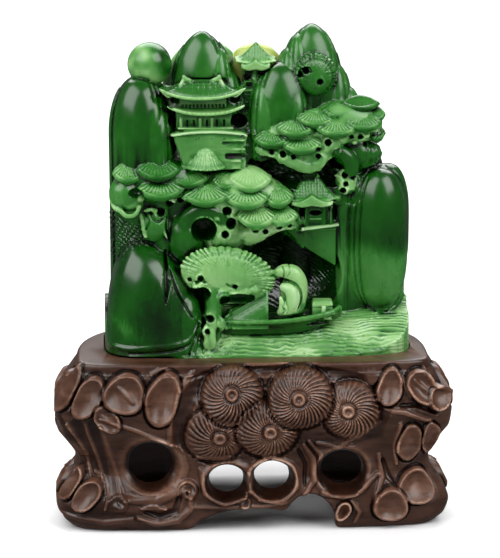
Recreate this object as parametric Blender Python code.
"""Jade mountain carving on its pierced hardwood stand.

Two solids: the jade, one carved block of rocks, pines, pavilions and a boat, and the
stand, one hollow carved block with a socket in its top.  +Z is up, the front faces -Y.
Sizes below are in millimetres and become metres when a mesh is finished.
"""

import math

import bmesh
import bpy
from mathutils import Matrix

MM = 0.001

# ---------------------------------------------------------------- driving sizes
ROW_SHIFT = (0.0, 2.9, 0.0)   # puts the middle of the whole box over the origin

# Stand
STAND_TOP = 55.5
STAND_HALF_WIDTH = 57.8       # at the top ledge
STAND_WIDEST_Y = -14.0        # the line where the ledge is widest
STAND_FRONT = 16.8            # from that line to the front edge
STAND_BACK = 42.0             # from that line to the back edge
FRONT_SQUARENESS = 6.0
BACK_SQUARENESS = 2.6
SIDE_SHARE_IN_DEPTH = 0.5     # how much of the side's bulge the front and back take
WALL = 7.5
HOLLOW_TOP = 44.0
STAND_PROFILE = (             # height, bulge beyond the ledge
    (0.0, 1.5), (3.0, 5.0), (8.0, 6.4), (13.0, 4.2), (18.0, 0.2), (23.0, -0.6),
    (28.5, 3.0), (33.0, 6.4), (39.0, 7.1), (45.0, 5.2), (51.0, 1.2), (STAND_TOP, 0.0),
)

# Jade foot and the socket that holds it
SOCKET_FLOOR = 52.5
GAP = 0.35
JADE_FLOOR = SOCKET_FLOOR + GAP
JADE_FOOT_X = 2.0
JADE_HALF_WIDTH = 50.0
JADE_FRONT = 22.0
JADE_BACK = 20.0
JADE_SQUARENESS = 5.0

# Facets round each kind of form
ROCK_SIDES, ROCK_RINGS = 9, 5
FAN_SIDES, FAN_RINGS = 8, 4
KNOB_SIDES, KNOB_RINGS = 7, 4
STAND_SIDES = 32
BURR_SIDES = 8
SHARP_FROM = math.radians(42.0)
STAND_TRIANGLES_KEPT = 0.68

# Rocks: x, y, foot, top, half width, half depth, height of the crown, lean in x; peaks add how pointed
DOMED = 0.9
CORE_ROCKS = (
    (-24.0, 5.5, 53.5, 126.0, 21.5, 13.6, 24.0, 0.0),
    (3.0, 7.0, 53.5, 139.0, 24.0, 12.4, 26.0, 0.0),
    (29.0, 5.5, 53.5, 131.0, 17.0, 13.4, 34.0, 0.0),
)
PEAKS = (
    (-36.0, 2.5, 56.0, 144.0, 9.6, 11.5, 19.0, -1.2, DOMED),       # left shoulder
    (-14.4, 8.0, 95.0, 157.8, 12.2, 9.5, 21.0, 0.0, 2.2),          # top left
    (-14.2, 13.5, 95.0, 154.0, 14.6, 5.6, 20.0, 0.0, DOMED),       # its ridge behind
    (2.4, 13.5, 100.0, 152.6, 8.6, 5.0, 9.0, 0.0, DOMED),          # slab behind the rear pavilion
    (9.6, 2.0, 106.0, 148.0, 11.2, 9.5, 18.0, 0.0, 1.5),           # centre
    (20.0, 7.5, 95.0, 160.0, 10.6, 9.5, 19.0, 0.0, 1.4),           # top right
    (43.4, 3.5, 56.0, 98.0, 8.0, 12.5, 10.0, 0.0, DOMED),          # right foot
    (32.0, 4.0, 95.0, 137.5, 10.5, 9.5, 14.0, 0.0, DOMED),         # right shoulder under the pines
    (-32.0, -8.6, 56.0, 92.5, 14.8, 12.4, 17.0, -3.0, DOMED),      # front left
    (-21.5, -13.0, 56.0, 76.0, 5.6, 8.2, 12.0, 0.0, DOMED),        # its lower right slab
)
# Slabs that step down a peak's side: peak number, side, steps, inward start, step in x, drop a step
SIDE_SLABS = (
    (0, 1, 2, 0.35, 2.0, 4.5),
    (1, 1, 2, 0.45, 3.2, 7.0),
    (4, 1, 2, 0.40, 3.4, 8.0),
    (4, -1, 1, 0.50, 3.0, 8.0),
    (5, -1, 2, 0.42, 3.2, 4.4),
    (5, 1, 3, 0.40, 4.0, 7.5),
)
# Standing egg at the right, with a second lobe and a rib on its left: x, y, z and half sizes
RIGHT_EGG = (
    (41.2, -2.5, 92.4, 11.2, 10.8, 23.6), (44.6, -3.5, 96.0, 7.8, 9.0, 18.0),
    (34.4, -4.0, 91.0, 5.2, 8.0, 20.0),
)
REAR_ROCKS = 7                # plainer boulders across the back
REAR_FIRST_X, REAR_STEP_X = -38.0, 13.4
REAR_TOP, REAR_TOP_SWING = 104.0, 22.0                     # the tops rise and fall in a wave
REAR_WAVE_STEP, REAR_WAVE_START = 1.9, 0.6
REAR_Y, REAR_CURVE = 10.9, 0.0035                          # the row bends forward at its ends
REAR_FOOT, REAR_HALF_WIDTH, REAR_HALF_DEPTH, REAR_CROWN = 56.0, 8.2, 8.6, 14.0
PEACH_STONE = (-32.5, 5.0, 147.4, 7.2)                     # x, y, z, radius

# Hollows in the mountain's front: x, y, z, half width, half depth, half height
CAVES = (
    (13.0, -9.0, 79.0, 16.5, 13.5, 15.0),
    (7.5, -7.0, 114.0, 8.5, 10.0, 5.2),
    (24.5, -7.0, 113.5, 7.0, 10.0, 5.2),
)
TRUNK_HOLE = (-15.6, 95.7, 4.0, 11.0)                      # x, z, radius, depth from the front

# Pine fans: x, y, z, width, height seen from the front
LEFT_FANS = (
    (-39.8, -8.5, 114.2, 10.4, 6.6), (-30.3, -10.0, 115.4, 14.0, 6.6),
    (-20.6, -9.5, 112.5, 12.8, 6.0), (-8.6, -9.0, 111.4, 8.6, 6.2),
    (-0.6, -9.5, 112.0, 14.0, 7.6), (-29.5, -12.5, 109.6, 15.0, 6.6),
    (-15.0, -13.0, 107.4, 15.2, 6.4), (-1.8, -13.0, 106.6, 13.8, 6.8),
    (8.4, -11.0, 106.5, 10.4, 6.8), (1.4, -14.0, 100.5, 12.6, 7.2),
    (9.3, -13.0, 100.5, 11.2, 6.2),
)
RIGHT_FANS = (
    (35.5, -5.5, 135.7, 12.6, 4.6), (28.0, -6.5, 133.5, 10.4, 5.0),
    (21.1, -7.5, 131.3, 12.4, 5.4), (14.3, -8.5, 128.5, 12.4, 5.8),
    (40.4, -6.0, 132.2, 6.6, 5.0), (36.3, -9.0, 130.2, 12.0, 5.6),
    (27.7, -10.0, 128.5, 13.4, 5.2), (16.4, -10.0, 123.4, 13.2, 5.8),
    (6.5, -9.0, 125.0, 11.4, 5.4), (40.6, -6.0, 126.1, 6.4, 5.4),
)
FAN_TILT = math.radians(48.0)
FAN_HALF_THICKNESS = 1.9
# Boughs behind the fans and other round masses: x, y, z, half width, half depth, half height
BOUGHS = (
    (-29.0, -5.0, 110.5, 15.5, 7.0, 7.0), (-4.0, -5.5, 105.5, 15.5, 7.5, 8.5),
    (13.5, -3.0, 126.0, 11.5, 6.5, 5.2), (31.0, -3.5, 129.0, 12.0, 6.5, 7.2),
    (34.4, -3.5, 119.4, 7.6, 5.5, 5.0), (29.5, -4.0, 110.5, 4.2, 5.0, 4.6),
    (-41.2, -7.5, 108.4, 4.9, 5.0, 3.8), (-39.4, -8.0, 104.2, 4.2, 4.4, 3.0),
    (-31.2, -7.5, 96.6, 4.4, 4.6, 5.0), (-21.5, -6.5, 92.0, 6.4, 6.5, 9.0),
    (-9.0, -4.5, 93.0, 7.0, 8.0, 9.0),
)
# Boatman, bent over: robe, back, hood, sleeve, knee
BOATMAN = (
    (13.2, -13.0, 73.0, 5.6, 4.0, 5.4), (15.6, -12.6, 76.6, 4.4, 3.8, 6.6),
    (12.8, -12.6, 80.8, 5.2, 3.6, 3.6), (11.0, -15.4, 74.8, 2.4, 2.2, 4.6),
    (16.4, -15.2, 69.2, 4.4, 2.4, 3.0),
)

# Front pine: a spread crown with a toothed edge on a trunk
CROWN = (-8.2, -14.5, 81.6, 15.6, 4.2, 8.6)
CROWN_LEAN = math.radians(12.0)
CROWN_TEETH = 13
TRUNK = (-14.0, -14.0, 56.0, 80.0, 3.6, 5.0, 14.0, 0.0)
SUMMIT_DISC = (21.3, -1.0, 144.8, 7.4, 4.6, 7.4)
SUMMIT_TEETH = 11

# Buildings.  Roofs: x, y, eave, width, depth, rise, ridge, corner flare
HALL_ROOF_UPPER = (-15.8, 0.5, 136.9, 23.6, 14.0, 5.0, 13.0, 2.6)
HALL_ROOF_LOWER = (-15.0, -0.5, 132.2, 21.4, 13.0, 3.4, 12.0, 1.8)
REAR_HALL_ROOF = (2.2, 6.5, 147.6, 11.4, 9.0, 6.4, 1.0, 1.2)
REAR_HALL_PORCH = (1.9, 3.0, 146.0, 8.6, 6.0, 3.6, 0.8, 0.8)
RIGHT_HALL_ROOF = (18.9, -5.0, 103.9, 16.4, 12.0, 9.4, 1.2, 1.2)
RIGHT_HALL_PORCH = (19.2, -9.5, 103.4, 12.6, 5.0, 4.6, 0.8, 0.8)
# Rooms and terraces: middle x, y, z and width, depth, height
HALL_UPPER_ROOM = (-15.4, 1.5, 135.5, 15.0, 10.0, 6.0)
HALL_ROOM = (-15.2, 1.0, 130.5, 18.0, 10.5, 6.5)
TERRACE_LIP = (-14.6, -2.0, 127.9, 25.4, 16.0, 1.6)
TERRACE_WALL = (-13.8, -1.5, 121.5, 24.0, 14.6, 13.0)
REAR_HALL_ROOM = (1.8, 6.0, 141.0, 7.6, 6.6, 14.0)
RIGHT_HALL_ROOM = (21.0, -4.5, 99.5, 13.4, 9.4, 10.0)
RIGHT_HALL_FLOOR = (21.6, -5.5, 95.2, 14.6, 12.4, 2.6)
RIGHT_HALL_BASE = (21.8, -3.0, 88.5, 11.6, 12.0, 12.0)
THATCHED_CONE = (-14.9, -7.0, 115.6, 7.4, 7.4)             # x, y, foot, height, radius

# Boat
BOAT_LEFT, BOAT_RIGHT, BOAT_Y = -11.0, 29.0, -14.5
BOAT_HALF_BEAM, BOAT_KEEL, BOAT_RIM, BOW_RISE = 4.6, 61.2, 66.3, 3.4
BOAT_STATIONS = 6
MAT_LEFT, MAT_RIGHT, MAT_LOW, MAT_MIDDLE, MAT_HIGH = -9.0, 5.0, 68.6, 72.2, 76.8
MAT_EAVE, MAT_FOOT, MAT_HALF_DEPTH = 66.0, 64.5, 4.4
CHEST = (23.2, -13.2, 70.6, 6.8, 6.4, 8.0)                 # middle x, y, z and width, depth, height

# Wood relief: needle discs and burr ovals, both x, z, half width, half height; discs add their front y
NEEDLE_DISCS = (
    (-7.4, 45.6, 9.8, 9.4, -37.0), (14.4, 45.0, 10.2, 9.8, -38.2), (3.8, 34.2, 9.8, 9.6, -37.4),
    (30.9, 40.2, 9.2, 9.2, -37.0), (-13.0, 32.6, 9.8, 9.4, -36.0),
)
FRONT_BURRS = (
    (-53.0, 46.6, 4.4, 6.0), (-42.2, 46.6, 7.0, 6.6), (-29.4, 46.0, 5.8, 8.2), (-47.0, 38.4, 4.6, 5.0),
    (44.0, 48.6, 4.4, 5.6), (53.6, 47.0, 4.4, 5.4), (49.4, 28.0, 4.2, 6.2), (51.4, 14.8, 6.0, 5.6),
    (43.6, 8.6, 5.4, 5.4), (-56.0, 13.6, 5.0, 5.4), (-46.0, 6.6, 5.4, 4.6), (-23.0, 13.6, 4.0, 3.8),
)
CORNER_FROM, CORNER_TURN = 40.0, 0.35                      # burrs beyond this x turn with the corner
SIDE_BURRS = ((-20.0, 45.0, 5.0, 6.5), (-2.0, 41.0, 6.0, 7.0), (-10.0, 12.0, 5.6, 5.6))   # y, z, sizes
BACK_BURRS = ((-27.0, 38.0, 7.0, 8.0), (0.0, 42.0, 8.5, 8.0), (27.0, 38.0, 7.0, 8.0))

# Piercings: x, z, half width, half height at the wall's middle
FRONT_HOLES = (
    (-33.8, 21.9, 8.0, 7.6), (-9.1, 16.4, 6.2, 5.2), (5.7, 17.3, 6.4, 5.4), (28.4, 19.5, 7.4, 6.4),
)
HOLE_FLARE = 1.30             # a hole's mouth over its throat
FRONT_CUT_Y, BACK_CUT_Y, SIDE_CUT_X = -30.0, 26.0, 58.0    # the walls' middles
HOLE_CUT, ARCH_CUT = 22.0, 30.0                            # how deep the cutters reach
FRONT_ARCHES = ((0.0, -1.0, 20.0, 8.4), (17.8, 2.0, 8.4, 9.8))
BACK_HOLES = ((-24.0, 20.0, 7.5, 7.0), (24.0, 20.0, 7.5, 7.0))
BACK_ARCH = (0.0, -1.0, 26.0, 10.0)
SIDE_HOLE = (-2.0, 25.0, 6.5, 6.0)                         # y, z
SIDE_ARCH = (0.0, -1.0, 11.0, 8.0)
FRONT_ROOT = (-31.5, -31.5, 0.0, 14.0, 7.5, 7.0, 12.0, 0.0)


# ---------------------------------------------------------------- scene helpers
def clear_scene():
    for old in list(bpy.data.objects):
        bpy.data.objects.remove(old, do_unlink=True)


def new_collection(name):
    group = bpy.data.collections.new(name)
    bpy.context.scene.collection.children.link(group)
    return group


def finish(bm, name, group, is_guide=True):
    """Turns a bmesh in millimetres into an object in metres, centred over the origin."""
    bmesh.ops.translate(bm, vec=ROW_SHIFT, verts=bm.verts)
    bmesh.ops.scale(bm, vec=(MM, MM, MM), verts=bm.verts)
    bmesh.ops.recalc_face_normals(bm, faces=bm.faces)
    mesh = bpy.data.meshes.new(name)
    bm.to_mesh(mesh)
    bm.free()
    mesh.shade_smooth()
    mesh.set_sharp_from_angle(angle=SHARP_FROM)
    piece = bpy.data.objects.new(name, mesh)
    group.objects.link(piece)
    if is_guide:
        piece.hide_render = True
        piece.display_type = 'WIRE'
    return piece


def material(name, colour, roughness):
    finish_of = bpy.data.materials.new(name)
    finish_of.use_nodes = True
    shader = finish_of.node_tree.nodes["Principled BSDF"]
    shader.inputs["Base Color"].default_value = (*colour, 1.0)
    shader.inputs["Roughness"].default_value = roughness
    shader.inputs["Metallic"].default_value = 0.0
    return finish_of


def combine(target, group, operation, solver='EXACT'):
    """Joins every mesh of a collection to the target, or cuts them all from it."""
    step = target.modifiers.new(group.name, 'BOOLEAN')
    step.operand_type = 'COLLECTION'
    step.collection = group
    step.operation = operation
    step.solver = solver


def thin_out(target, share):
    """Merges the slivers that many joins leave, down to a share of the triangles."""
    step = target.modifiers.new("thin_out", 'DECIMATE')
    step.ratio = share


# ---------------------------------------------------------------- basic forms
def superellipse(angle, half_width, front, back, front_power, back_power):
    """A point of an oval whose front half and back half have their own depth and squareness."""
    cosine, sine = math.cos(angle), math.sin(angle)
    depth, power = (front, front_power) if sine < 0.0 else (back, back_power)
    reach = (abs(cosine) ** power + abs(sine) ** power) ** (-1.0 / power)
    return half_width * cosine * reach, depth * sine * reach


def loft(rings):
    """A closed skin over a row of rings with equal numbers of points."""
    bm = bmesh.new()
    rows = [[bm.verts.new(point) for point in ring] for ring in rings]
    count = len(rings[0])
    for lower, upper in zip(rows, rows[1:]):
        for i in range(count):
            j = (i + 1) % count
            bm.faces.new((lower[i], lower[j], upper[j], upper[i]))
    bm.faces.new(rows[0][::-1])
    bm.faces.new(rows[-1])
    return bm


def rock(x, y, foot, top, half_width, half_depth, crown, lean, point=DOMED):
    """A boulder: a domed or pointed crown of the given height over sides that are nearly upright."""
    bm = bmesh.new()
    bmesh.ops.create_uvsphere(bm, u_segments=ROCK_SIDES, v_segments=ROCK_RINGS, radius=1.0)
    foot_share = (ROCK_RINGS - 1) / ROCK_RINGS
    shoulder_share = (ROCK_RINGS - 2) / ROCK_RINGS
    for vert in bm.verts:
        share = math.acos(max(-1.0, min(1.0, vert.co.z))) / math.pi
        around = math.atan2(vert.co.y, vert.co.x)
        if share < shoulder_share + 0.01:
            turn = share / shoulder_share * math.pi / 2.0
            spread, height = math.sin(turn) ** point, top - crown * (1.0 - math.cos(turn))
        else:
            spread, height = (1.0, foot) if share < foot_share + 0.01 else (0.0, foot)
        slant = lean * (height - foot) / (top - foot)
        across, along = spread * math.cos(around), spread * math.sin(around)
        vert.co = (x + slant + half_width * across, y + half_depth * along, height)
    return bm


def egg(x, y, z, half_width, half_depth, half_height, sides=KNOB_SIDES, rings=KNOB_RINGS):
    bm = bmesh.new()
    bmesh.ops.create_uvsphere(bm, u_segments=sides, v_segments=rings, radius=1.0)
    bmesh.ops.scale(bm, vec=(half_width, half_depth, half_height), verts=bm.verts)
    bmesh.ops.translate(bm, vec=(x, y, z), verts=bm.verts)
    return bm


def lens(x, y, z, half_width, half_depth, half_height, lean=0.0, teeth=0, sides=14):
    """A disc facing the front, domed on both faces, its upper edge toothed if asked."""
    bm = bmesh.new()
    bmesh.ops.create_uvsphere(bm, u_segments=2 * teeth or sides, v_segments=4, radius=1.0)
    for vert in bm.verts:
        around = math.atan2(vert.co.y, vert.co.x)
        notch = 1.0
        if teeth and vert.co.y > 0.05:
            notch = 1.0 + 0.05 * math.cos(teeth * (around + math.pi / (2 * teeth)))
        vert.co = (
            half_width * vert.co.x * notch, -half_depth * vert.co.z, half_height * vert.co.y * notch,
        )
    bmesh.ops.rotate(bm, verts=bm.verts, matrix=Matrix.Rotation(lean, 3, 'Y'))
    bmesh.ops.translate(bm, vec=(x, y, z), verts=bm.verts)
    return bm


def fan(x, y, z, width, height):
    """A flat bough of pine needles: a shell whose front lip hangs lower than its back."""
    half_depth = height / 2.0 / math.sin(FAN_TILT)
    bm = egg(0, 0, 0, width / 2.0, half_depth, FAN_HALF_THICKNESS, FAN_SIDES, FAN_RINGS)
    bmesh.ops.rotate(bm, verts=bm.verts, matrix=Matrix.Rotation(FAN_TILT, 3, 'X'))
    bmesh.ops.translate(bm, vec=(x, y, z), verts=bm.verts)
    return bm


def box(x, y, z, width, depth, height):
    bm = bmesh.new()
    bmesh.ops.create_cube(bm, size=1.0)
    bmesh.ops.scale(bm, vec=(width, depth, height), verts=bm.verts)
    bmesh.ops.translate(bm, vec=(x, y, z), verts=bm.verts)
    return bm


def roof(x, y, eave, width, depth, rise, ridge, flare):
    """A hipped roof with hollow slopes and lifted corners; ridge is the ridge line's length."""
    levels = ((1.0, 0.0), (1.0, 0.09), (0.62, 0.34), (0.30, 0.68), (0.0, 1.0))
    rings = []
    for spread, lift in levels:
        half_width = ridge / 2.0 + (width - ridge) / 2.0 * spread
        half_depth = 0.5 + (depth / 2.0 - 0.5) * spread
        corner = flare * spread ** 4
        ring = []
        for side_x, side_y in ((-1, -1), (0, -1), (1, -1), (1, 0), (1, 1), (0, 1), (-1, 1), (-1, 0)):
            bend = corner if side_x and side_y else 0.0
            ring.append((
                x + side_x * (half_width + bend * 0.6), y + side_y * (half_depth + bend * 0.4),
                eave + rise * lift + bend,
            ))
        rings.append(ring)
    return loft(rings)


def drum(x, y, z, half_width, half_height, length, flare, along_x=False, sides=14):
    """An oval cutter through a wall, wider at its outer mouth, lying along Y or X."""
    bm = bmesh.new()
    bmesh.ops.create_cone(bm, cap_ends=True, segments=sides, radius1=flare, radius2=1.0 / flare, depth=length)
    bmesh.ops.scale(bm, vec=(half_width, half_height, 1.0), verts=bm.verts)
    bmesh.ops.rotate(bm, verts=bm.verts, matrix=Matrix.Rotation(-math.pi / 2.0, 3, 'X'))
    if along_x:
        turn = math.pi / 2.0 if x > 0 else -math.pi / 2.0
        bmesh.ops.rotate(bm, verts=bm.verts, matrix=Matrix.Rotation(turn, 3, 'Z'))
    bmesh.ops.translate(bm, vec=(x, y, z), verts=bm.verts)
    return bm


# ---------------------------------------------------------------- jade
def jade_foot_ring(height, clearance=0.0, front_cut=0.0, back_cut=0.0, sides=28):
    ring = []
    for i in range(sides):
        angle = 2.0 * math.pi * (i + 0.5) / sides
        px, py = superellipse(
            angle, JADE_HALF_WIDTH + clearance, JADE_FRONT + clearance, JADE_BACK + clearance,
            JADE_SQUARENESS, JADE_SQUARENESS,
        )
        py *= 1.0 - (front_cut if py < 0.0 else back_cut)
        ring.append((JADE_FOOT_X + px, py, height))
    return ring


def water_slope():
    """The block's foot, plumb in the socket and then sloping back as rippled water."""
    steps = (
        (JADE_FLOOR, 0.0, 0.0), (STAND_TOP + 0.3, 0.0, 0.0), (59.0, 0.14, 0.12), (63.0, 0.34, 0.26),
        (67.0, 0.66, 0.4), (70.0, 0.94, 0.5),
    )
    return loft([jade_foot_ring(height, 0.0, front, back) for height, front, back in steps])


def side_slabs(group):
    """Thin rocks nested against the flanks of the peaks, each lower and further forward."""
    for peak, side, steps, start, step_x, drop in SIDE_SLABS:
        x, y, foot, top, half_width, half_depth, crown, lean, _ = PEAKS[peak]
        for k in range(steps):
            slab = rock(
                x + side * (half_width * start + step_x * k), y - 0.9 * (k + 1), foot,
                top - drop * (k + 0.7), half_width * 0.52, half_depth * 0.92, crown * 0.8, lean,
            )
            finish(slab, f"slab_{peak}_{side}_{k}", group)


def rear_rocks(group):
    for k in range(REAR_ROCKS):
        x = REAR_FIRST_X + REAR_STEP_X * k
        y = REAR_Y - REAR_CURVE * x * x
        top = REAR_TOP + REAR_TOP_SWING * math.sin(REAR_WAVE_STEP * k + REAR_WAVE_START)
        boulder = rock(x, y, REAR_FOOT, top, REAR_HALF_WIDTH, REAR_HALF_DEPTH, REAR_CROWN, 0.0)
        finish(boulder, f"rear_rock_{k}", group)


def pavilions(group):
    """The double-roofed hall on its terrace, the small rear hall and the gabled hall at the right."""
    halls = (
        ("hall_roof_upper", roof(*HALL_ROOF_UPPER)),
        ("hall_roof_lower", roof(*HALL_ROOF_LOWER)),
        ("hall_upper_room", box(*HALL_UPPER_ROOM)),
        ("hall_room", box(*HALL_ROOM)),
        ("terrace_lip", box(*TERRACE_LIP)),
        ("terrace_wall", box(*TERRACE_WALL)),
        ("rear_hall_roof", roof(*REAR_HALL_ROOF)),
        ("rear_hall_porch", roof(*REAR_HALL_PORCH)),
        ("rear_hall_room", box(*REAR_HALL_ROOM)),
        ("right_hall_roof", roof(*RIGHT_HALL_ROOF)),
        ("right_hall_porch", roof(*RIGHT_HALL_PORCH)),
        ("right_hall_room", box(*RIGHT_HALL_ROOM)),
        ("right_hall_floor", box(*RIGHT_HALL_FLOOR)),
        ("right_hall_base", box(*RIGHT_HALL_BASE)),
    )
    for name, shape in halls:
        finish(shape, name, group)
    x, y, foot, height, radius = THATCHED_CONE
    cone = bmesh.new()
    bmesh.ops.create_cone(cone, cap_ends=True, segments=12, radius1=radius, radius2=0.4, depth=height)
    bmesh.ops.translate(cone, vec=(x, y, foot + height / 2.0), verts=cone.verts)
    finish(cone, "thatched_cone", group)


def boat(group):
    rings = []
    for k in range(BOAT_STATIONS):
        share = k / (BOAT_STATIONS - 1)
        x = BOAT_LEFT + (BOAT_RIGHT - BOAT_LEFT) * share
        beam = BOAT_HALF_BEAM * (1.0 - abs(2.0 * share - 1.0) ** 3) ** 0.5 + 0.5
        keel = BOAT_KEEL + 5.0 * max(0.0, share - 0.35) ** 2 / 0.42
        rim = BOAT_RIM + BOW_RISE * share ** 3
        rings.append([
            (x, BOAT_Y - beam, rim), (x, BOAT_Y - 0.8 * beam, 0.5 * (keel + rim)), (x, BOAT_Y, keel - 1.0),
            (x, BOAT_Y + 0.8 * beam, 0.5 * (keel + rim)), (x, BOAT_Y + beam, rim),
        ])
    finish(loft(rings), "boat_hull", group)

    arches = []
    middle = 0.5 * (MAT_LEFT + MAT_RIGHT)
    for x, crown in ((MAT_LEFT, MAT_LOW), (middle, MAT_MIDDLE), (MAT_RIGHT, MAT_HIGH)):
        arches.append([
            (x, BOAT_Y - MAT_HALF_DEPTH, MAT_FOOT),
            (x, BOAT_Y - 0.95 * MAT_HALF_DEPTH, MAT_EAVE + 0.25 * (crown - MAT_EAVE)),
            (x, BOAT_Y - 1.2, crown), (x, BOAT_Y + 2.0, crown),
            (x, BOAT_Y + MAT_HALF_DEPTH, MAT_EAVE), (x, BOAT_Y + MAT_HALF_DEPTH, MAT_FOOT),
        ])
    finish(loft(arches), "boat_mat_roof", group)
    finish(box(*CHEST), "boat_chest", group)
    for k, fold in enumerate(BOATMAN):
        finish(egg(*fold), f"boatman_{k}", group)


def pines(group):
    for k, place in enumerate(LEFT_FANS + RIGHT_FANS):
        finish(fan(*place), f"pine_fan_{k:02d}", group)
    finish(lens(*CROWN, lean=CROWN_LEAN, teeth=CROWN_TEETH), "front_pine_crown", group)
    finish(rock(*TRUNK), "front_pine_trunk", group)
    finish(lens(*SUMMIT_DISC, teeth=SUMMIT_TEETH), "summit_pine_disc", group)
    for k, mass in enumerate(BOUGHS):
        finish(egg(*mass, sides=8, rings=4), f"bough_{k:02d}", group)


def make_jade(group):
    core = new_collection("jade_core_forms")
    caves = new_collection("jade_caves")
    forms = new_collection("jade_carved_forms")
    holes = new_collection("jade_piercings")

    jade = finish(water_slope(), "jade_mountain", group, is_guide=False)
    for k, place in enumerate(CORE_ROCKS):
        finish(rock(*place), f"core_rock_{k}", core)
    for k, place in enumerate(CAVES):
        finish(egg(*place, sides=12, rings=6), f"cave_{k}", caves)
    for k, place in enumerate(PEAKS):
        finish(rock(*place), f"peak_{k}", forms)
    side_slabs(forms)
    rear_rocks(forms)
    for k, place in enumerate(RIGHT_EGG):
        finish(egg(*place, sides=12, rings=7), f"right_egg_{k}", forms)
    x, y, z, radius = PEACH_STONE
    finish(egg(x, y, z, radius, radius, radius, 12, 7), "peach_stone", forms)
    pavilions(forms)
    pines(forms)
    boat(forms)
    x, z, radius, depth = TRUNK_HOLE
    finish(drum(x, -15.0 + depth / 2.0, z, radius, radius, depth, 1.1, sides=12), "trunk_hole", holes)

    # EXACT leaves open edges where this many forms meet, so the jade uses the other solver.
    combine(jade, core, 'UNION', 'MANIFOLD')
    combine(jade, caves, 'DIFFERENCE', 'MANIFOLD')
    combine(jade, forms, 'UNION', 'MANIFOLD')
    combine(jade, holes, 'DIFFERENCE', 'MANIFOLD')
    jade.data.materials.append(material("green_jade", (0.035, 0.20, 0.04), 0.15))


# ---------------------------------------------------------------- stand
def stand_ring(height, bulge, inset=0.0, sides=STAND_SIDES):
    ring = []
    for i in range(sides):
        angle = 2.0 * math.pi * (i + 0.5) / sides
        px, py = superellipse(
            angle, STAND_HALF_WIDTH + bulge - inset, STAND_FRONT + SIDE_SHARE_IN_DEPTH * bulge - inset,
            STAND_BACK + SIDE_SHARE_IN_DEPTH * bulge - inset, FRONT_SQUARENESS, BACK_SQUARENESS,
        )
        ring.append((px, STAND_WIDEST_Y + py, height))
    return ring


def burr(x, y, z, half_width, half_height, turn):
    """An oval burr: a raised rim round a dished middle, standing on a wall that faces -Y before the turn."""
    rings = []
    for spread, stand_off in ((1.0, 5.0), (1.0, 0.4), (0.76, -1.3), (0.42, 0.4)):
        ring = []
        for i in range(BURR_SIDES):
            angle = -2.0 * math.pi * i / BURR_SIDES
            ring.append((
                half_width * spread * math.cos(angle), stand_off, half_height * spread * math.sin(angle),
            ))
        rings.append(ring)
    bm = loft(rings)
    bmesh.ops.rotate(bm, verts=bm.verts, matrix=Matrix.Rotation(turn, 3, 'Z'))
    bmesh.ops.translate(bm, vec=(x, y, z), verts=bm.verts)
    return bm


def bulge_at(height):
    for (low, bulge_low), (high, bulge_high) in zip(STAND_PROFILE, STAND_PROFILE[1:]):
        if low <= height <= high:
            return bulge_low + (bulge_high - bulge_low) * (height - low) / (high - low)
    return 0.0


def front_wall_y(x, height):
    """The front face's depth at a place on it."""
    bulge = bulge_at(height)
    across = min(1.0, abs(x) / (STAND_HALF_WIDTH + bulge))
    depth = STAND_FRONT + SIDE_SHARE_IN_DEPTH * bulge
    return STAND_WIDEST_Y - depth * (1.0 - across ** FRONT_SQUARENESS) ** (1.0 / FRONT_SQUARENESS)


def back_wall_y(x, height):
    bulge = bulge_at(height)
    across = min(1.0, abs(x) / (STAND_HALF_WIDTH + bulge))
    depth = STAND_BACK + SIDE_SHARE_IN_DEPTH * bulge
    return STAND_WIDEST_Y + depth * (1.0 - across ** BACK_SQUARENESS) ** (1.0 / BACK_SQUARENESS)


def side_wall_x(y, height):
    bulge = bulge_at(height)
    depth, power = (STAND_BACK, BACK_SQUARENESS) if y > STAND_WIDEST_Y else (STAND_FRONT, FRONT_SQUARENESS)
    along = abs(y - STAND_WIDEST_Y) / (depth + SIDE_SHARE_IN_DEPTH * bulge)
    return (STAND_HALF_WIDTH + bulge) * (1.0 - along ** power) ** (1.0 / power)


def stand_relief(group):
    for k, (x, z, half_width, half_height, front) in enumerate(NEEDLE_DISCS):
        finish(lens(x, front + 5.0, z, half_width, 5.0, half_height), f"needle_disc_{k}", group)
    for k, (x, z, half_width, half_height) in enumerate(FRONT_BURRS):
        turn = math.copysign(CORNER_TURN, x) if abs(x) > CORNER_FROM else 0.0
        shape = burr(x, front_wall_y(x, z), z, half_width, half_height, turn)
        finish(shape, f"front_burr_{k:02d}", group)
    for side in (-1, 1):
        for k, (y, z, half_width, half_height) in enumerate(SIDE_BURRS):
            shape = burr(side * side_wall_x(y, z), y, z, half_width, half_height, side * math.pi / 2.0)
            finish(shape, f"side_burr_{side}_{k}", group)
    for k, (x, z, half_width, half_height) in enumerate(BACK_BURRS):
        shape = burr(x, back_wall_y(x, z), z, half_width, half_height, math.pi)
        finish(shape, f"back_burr_{k}", group)
    finish(rock(*FRONT_ROOT), "front_root", group)


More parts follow.
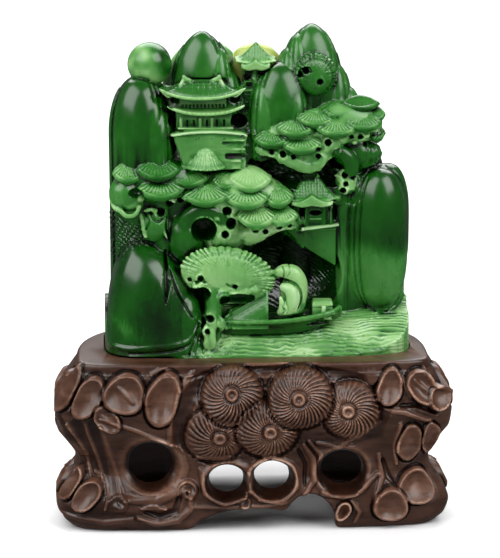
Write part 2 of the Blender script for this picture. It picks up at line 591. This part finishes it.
def stand_piercings(group):
    hollow_heights = [(-2.0, 1.5)] + [step for step in STAND_PROFILE[1:] if step[0] < HOLLOW_TOP - 3.0]
    rings = [stand_ring(height, bulge, WALL, 24) for height, bulge in hollow_heights]
    rings.append(stand_ring(HOLLOW_TOP, 0.0, WALL + 3.0, 24))
    finish(loft(rings), "stand_hollow", group)
    finish(loft([jade_foot_ring(SOCKET_FLOOR, GAP), jade_foot_ring(STAND_TOP + 4.0, GAP)]), "socket", group)
    for k, (x, z, half_width, half_height) in enumerate(FRONT_HOLES):
        cutter = drum(x, FRONT_CUT_Y, z, half_width, half_height, HOLE_CUT, HOLE_FLARE)
        finish(cutter, f"front_hole_{k}", group)
    for k, (x, z, half_width, half_height) in enumerate(FRONT_ARCHES):
        cutter = drum(x, FRONT_CUT_Y, z, half_width, half_height, ARCH_CUT, 1.0, sides=20)
        finish(cutter, f"front_arch_{k}", group)
    for k, (x, z, half_width, half_height) in enumerate(BACK_HOLES):
        finish(drum(x, BACK_CUT_Y, z, half_width, half_height, ARCH_CUT, 1.0), f"back_hole_{k}", group)
    x, z, half_width, half_height = BACK_ARCH
    finish(drum(x, BACK_CUT_Y, z, half_width, half_height, ARCH_CUT, 1.0, sides=20), "back_arch", group)
    for side in (-1, 1):
        y, z, half_width, half_height = SIDE_HOLE
        cutter = drum(side * SIDE_CUT_X, y, z, half_width, half_height, ARCH_CUT, 1.0, True)
        finish(cutter, f"side_hole_{side}", group)
        y, z, half_width, half_height = SIDE_ARCH
        cutter = drum(side * SIDE_CUT_X, y, z, half_width, half_height, ARCH_CUT, 1.0, True)
        finish(cutter, f"side_arch_{side}", group)


def make_stand(group):
    relief = new_collection("stand_relief_forms")
    cutters = new_collection("stand_cutters")
    body = loft([stand_ring(height, bulge) for height, bulge in STAND_PROFILE])
    stand = finish(body, "carved_wood_stand", group, is_guide=False)
    stand_relief(relief)
    stand_piercings(cutters)
    combine(stand, relief, 'UNION')
    combine(stand, cutters, 'DIFFERENCE')
    thin_out(stand, STAND_TRIANGLES_KEPT)
    stand.data.materials.append(material("dark_rosewood", (0.045, 0.016, 0.010), 0.35))


def main():
    clear_scene()
    parts = new_collection("jade_mountain_carving")
    make_jade(parts)
    make_stand(parts)


main()
